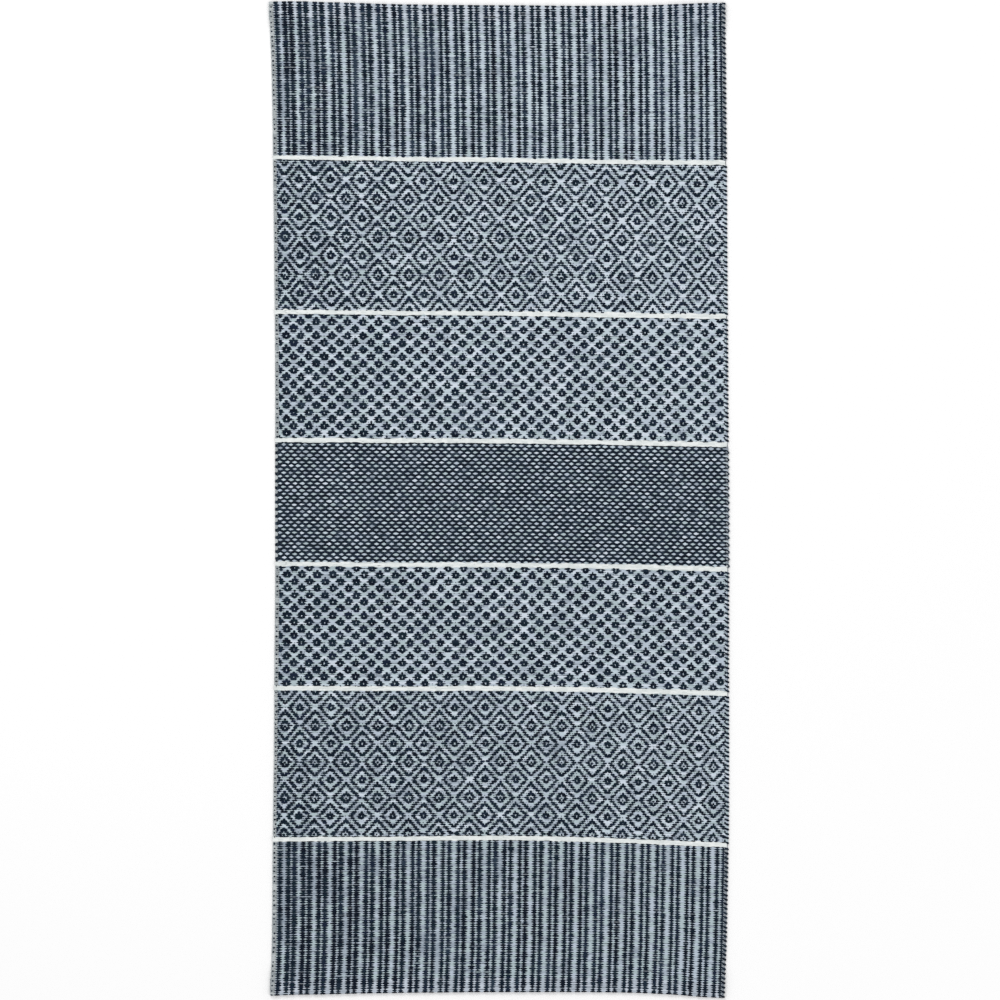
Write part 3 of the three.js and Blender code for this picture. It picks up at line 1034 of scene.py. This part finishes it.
LINK = [
    {"u": 3.3, "dr": -0.05, "h": 1.0, "wide": 0.0},
    {"u": 2.5, "dr": -0.02, "h": 1.50, "wide": 1.0, "drop": 0.3},
    {"u": 1.5, "dr": 0.08, "h": 1.48, "wide": 0.85, "drop": 0.3},
    {"u": 0.6, "dr": 0.20, "h": 1.30, "wide": 0.85, "drop": 0.3},
    {"u": 0.12, "dr": 0.24, "h": 0.3, "wide": 0.0},
]
# The pale loops of the right selvedge: how far they stop short of the outermost hooks, in warps, and their yarn
RIGHT_LOOPS = [
    {"chart": "stripes", "inset": 0.40, "yarn": "dull"},
    {"chart": "diamonds", "inset": 0.32, "yarn": "light"},
    {"chart": "dots", "inset": 0.55, "yarn": "light"},
]
edges = Weave("selvedges")
for b, band in enumerate(BANDS):
    start = -8 if b == 0 else 0
    stop = math.ceil(band["rows"]) + (8 if b == 6 else 0)
    r = np.arange(start, stop)
    pairs = r[r % 2 == 0]
    n = len(pairs)
    if band["chart"] != "dashes":
        plain = band["chart"] == "stripes"
        reach = 3.0 if plain else 2.4
        loops(edges, b, r + 0.5 + rng.normal(0, 0.05, len(r)), 0.52, tone("grey", len(r), b), -1, reach=reach)
        dots_here = pairs[rng.random(n) < 0.9]
        n = len(dots_here)
        a = 0.42 + rng.normal(0, 0.12, n)
        pillows(
            edges, b, a, a + 1.2 + rng.normal(0, 0.12, n), dots_here + 1.0 + rng.normal(0, 0.14, n),
            0.42 * (1 + rng.normal(0, 0.15, n)), first_tone["dark"] + rng.integers(0, 5, n), 1.58, 0.5, 0.12, 1.3,
        )
        ticks = pairs[rng.random(len(pairs)) < 0.5]
        n = len(ticks)
        a = (1.35 if plain else 0.9) + rng.normal(0, 0.2, n)
        pillows(
            edges, b, a, a + 0.9, ticks + 0.1 + rng.normal(0, 0.18, n), 0.22, tone("dull", n, b), 1.5, 0.5, 0.15, 1.3
        )
        how = next(row for row in RIGHT_LOOPS if row["chart"] == band["chart"])
        loops(
            edges, b, r + 0.5 + rng.normal(0, 0.06, len(r)), 0.5, tone(how["yarn"], len(r), b), 1,
            inset=how["inset"], reach=1.9,
        )
        n = len(pairs)
        cords(edges, b, pairs + 0.8 + rng.normal(0, 0.12, n), HOOK, first_tone["dark"] + rng.integers(0, 4, n), 1)
    else:
        loops(edges, b, pairs + 0.10, 0.58, tone("grey", n, b), -1, reach=1.6)
        loops(edges, b, pairs + 1.10 + rng.normal(0, 0.06, n), 0.46, tone("dark", n, b), -1, inset=-0.08, reach=1.2)
        loops(edges, b, r + 0.55, 0.5, tone("dull", len(r), b), 1, inset=0.35, reach=1.6)
        cords(edges, b, pairs + DASH_ROW + 1 + rng.normal(0, 0.06, n), CURL, tone("dark", n, b), 1)
        cords(edges, b, pairs + DASH_ROW + rng.normal(0, 0.06, n), LINK, tone("light", n, b), 1)
faces_made.append(edges)
faces_made.append(white)


# ---- the ground cloth -----------------------------------------------------------------------------------------------
def ground_material():
    mat = bpy.data.materials.new("ground_cloth")
    mat.use_nodes = True
    nt = mat.node_tree
    p = nt.nodes["Principled BSDF"]
    p.inputs["Roughness"].default_value = 0.8
    p.inputs["Specular IOR Level"].default_value = 0.2
    where = nt.nodes.new("ShaderNodeTexCoord")
    stretch = nt.nodes.new("ShaderNodeMapping")
    stretch.inputs["Scale"].default_value = (345, 60, 60)
    threads = nt.nodes.new("ShaderNodeTexNoise")
    threads.inputs["Scale"].default_value = 1.0
    threads.inputs["Detail"].default_value = 3.0
    ramp = nt.nodes.new("ShaderNodeValToRGB")
    ramp.color_ramp.elements[0].position, ramp.color_ramp.elements[1].position = 0.3, 0.7
    # the dark tones of the ground are partly the buried dark weft and partly painted shade for the gaps between the
    # floats
    ramp.color_ramp.elements[0].color = linear((22, 32, 43))
    ramp.color_ramp.elements[1].color = linear((48, 58, 68))
    nt.links.new(where.outputs["Object"], stretch.inputs["Vector"])
    nt.links.new(stretch.outputs["Vector"], threads.inputs["Vector"])
    nt.links.new(threads.outputs["Fac"], ramp.inputs["Fac"])
    nt.links.new(ramp.outputs["Color"], p.inputs["Base Color"])
    return mat


def ground():
    """The warp and the buried weft: a thin sheet in the middle of the cloth, with its hems turned under. Its dark
    colour, where it shows between the floats, is partly the buried dark weft and partly painted shade.
    """
    under = HEM - FOLD
    stations = []  # past the far bend, going towards the near end, as (end, distance past the bend or share of field)
    for s in (under, under / 2, 0.01):
        stations.append(("far", FOLD * math.pi + s))
    for a in np.linspace(180, 0, 9)[1:]:
        stations.append(("far", FOLD * math.radians(a)))
    for d in (-HEM / 2 + FOLD, -HEM + FOLD):
        stations.append(("far", d))
    for f in np.linspace(0, 1, 9)[1:]:
        stations.append(("far", -HEM + FOLD - RAMP * f))
    for f in np.linspace(0, 1, 48)[1:-1]:
        stations.append(("field", f))
    back = [("near", d) for kind, d in stations if kind == "far"][::-1]
    stations += back
    across = 64
    u = np.linspace(0.35, WARPS - 0.75, across + 1)
    rows = []
    for kind, d in stations:
        x = -341.0 + u / WARPS * 688.0
        for _ in range(2):
            if kind == "far":
                t = far(x) - FOLD + d
            elif kind == "near":
                t = near(x) + FOLD - d
            else:
                hi, lo = far(x) - HEM - RAMP, near(x) + HEM + RAMP
                t = hi + (lo - hi) * d
            x = across_at(u, t)
        rows.append((x, t))
    x = np.array([row[0] for row in rows])
    t = np.array([row[1] for row in rows])
    top = place(x, t, GROUND / 2)
    low = place(x, t, -GROUND / 2)
    n, m = x.shape
    points = np.concatenate([top.reshape(-1, 3), low.reshape(-1, 3)])
    k = np.arange(n * m).reshape(n, m)
    face = np.stack([k[:-1, :-1], k[1:, :-1], k[1:, 1:], k[:-1, 1:]], -1).reshape(-1, 4)
    quads = [face, face[:, ::-1] + n * m]
    for a, b2 in ((k[:-1, 0], k[1:, 0]), (k[1:, -1], k[:-1, -1]), (k[0, 1:], k[0, :-1]), (k[-1, :-1], k[-1, 1:])):
        quads.append(np.stack([a, a + n * m, b2 + n * m, b2], -1))
    quads = np.concatenate(quads)
    mesh = bpy.data.meshes.new("rug_cloth")
    mesh.from_pydata(points.tolist(), [], quads.tolist())
    mesh.polygons.foreach_set("use_smooth", np.ones(len(mesh.polygons), bool))
    mesh.materials.append(ground_material())
    mesh.update()
    obj = bpy.data.objects.new("rug_cloth", mesh)
    bpy.context.scene.collection.objects.link(obj)
    return obj


# ---- the floor, the light and the camera ----------------------------------------------------------------------------
def stage():
    mesh = bpy.data.meshes.new("floor")
    s = 14.0
    mesh.from_pydata([(-s, -s, 0), (s, -s, 0), (s, s, 0), (-s, s, 0)], [], [(0, 1, 2, 3)])
    mat = bpy.data.materials.new("pale_floor")
    mat.use_nodes = True
    p = mat.node_tree.nodes["Principled BSDF"]
    p.inputs["Base Color"].default_value = (0.93, 0.93, 0.93, 1)
    p.inputs["Roughness"].default_value = 0.9
    p.inputs["Specular IOR Level"].default_value = 0.1
    mesh.materials.append(mat)
    floor = bpy.data.objects.new("floor", mesh)
    bpy.context.scene.collection.objects.link(floor)
    floor.location.z = -0.00005
    floor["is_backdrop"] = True

    world = bpy.data.worlds.new("studio")
    world.use_nodes = True
    world.node_tree.nodes["Background"].inputs["Color"].default_value = (1.0, 1.0, 1.0, 1)
    world.node_tree.nodes["Background"].inputs["Strength"].default_value = 0.80
    bpy.context.scene.world = world

    for name, at, size, power in (
        ("softbox_key", (-1.6, 2.6, 3.4), 2.2, 60.0),
        ("softbox_fill", (2.2, -2.0, 3.6), 2.6, 26.0),
    ):
        lamp = bpy.data.lights.new(name, "AREA")
        lamp.shape, lamp.size, lamp.energy = "DISK", size, power
        obj = bpy.data.objects.new(name, lamp)
        obj.location = at
        way = np.array([0.0, 0.0, 0.0]) - np.array(at)
        from mathutils import Vector

        obj.rotation_euler = Vector(way.tolist()).to_track_quat("-Z", "Y").to_euler()
        bpy.context.scene.collection.objects.link(obj)

    camera = bpy.data.cameras.new("camera")
    camera.sensor_width = 36.0
    height = 12.0
    camera.lens = 36.0 * height / 1.510
    camera.clip_end = 60.0
    eye = bpy.data.objects.new("camera", camera)
    eye.location = ((1.51 - MIDDLE_X) * MM, (-0.98 - MIDDLE_Y) * MM, height)
    bpy.context.scene.collection.objects.link(eye)
    bpy.context.scene.camera = eye
    bpy.context.scene.view_settings.view_transform = "Standard"
    bpy.context.scene.view_settings.look = "None"
    bpy.context.scene.cycles.use_denoising = False


stage()
cloth = ground()
made = [w.build() for w in faces_made + backs_made]
for obj in made + [cloth]:
    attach(obj, "root")
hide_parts("rug")
total = sum(w.triangles() for w in faces_made + backs_made)
print("strands:", total, "triangles in", len(made), "pieces")


def plain(box):
    return [[float(v) for v in corner] for corner in box]


{"cad": plain(cad_box), "visual": plain(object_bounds())}
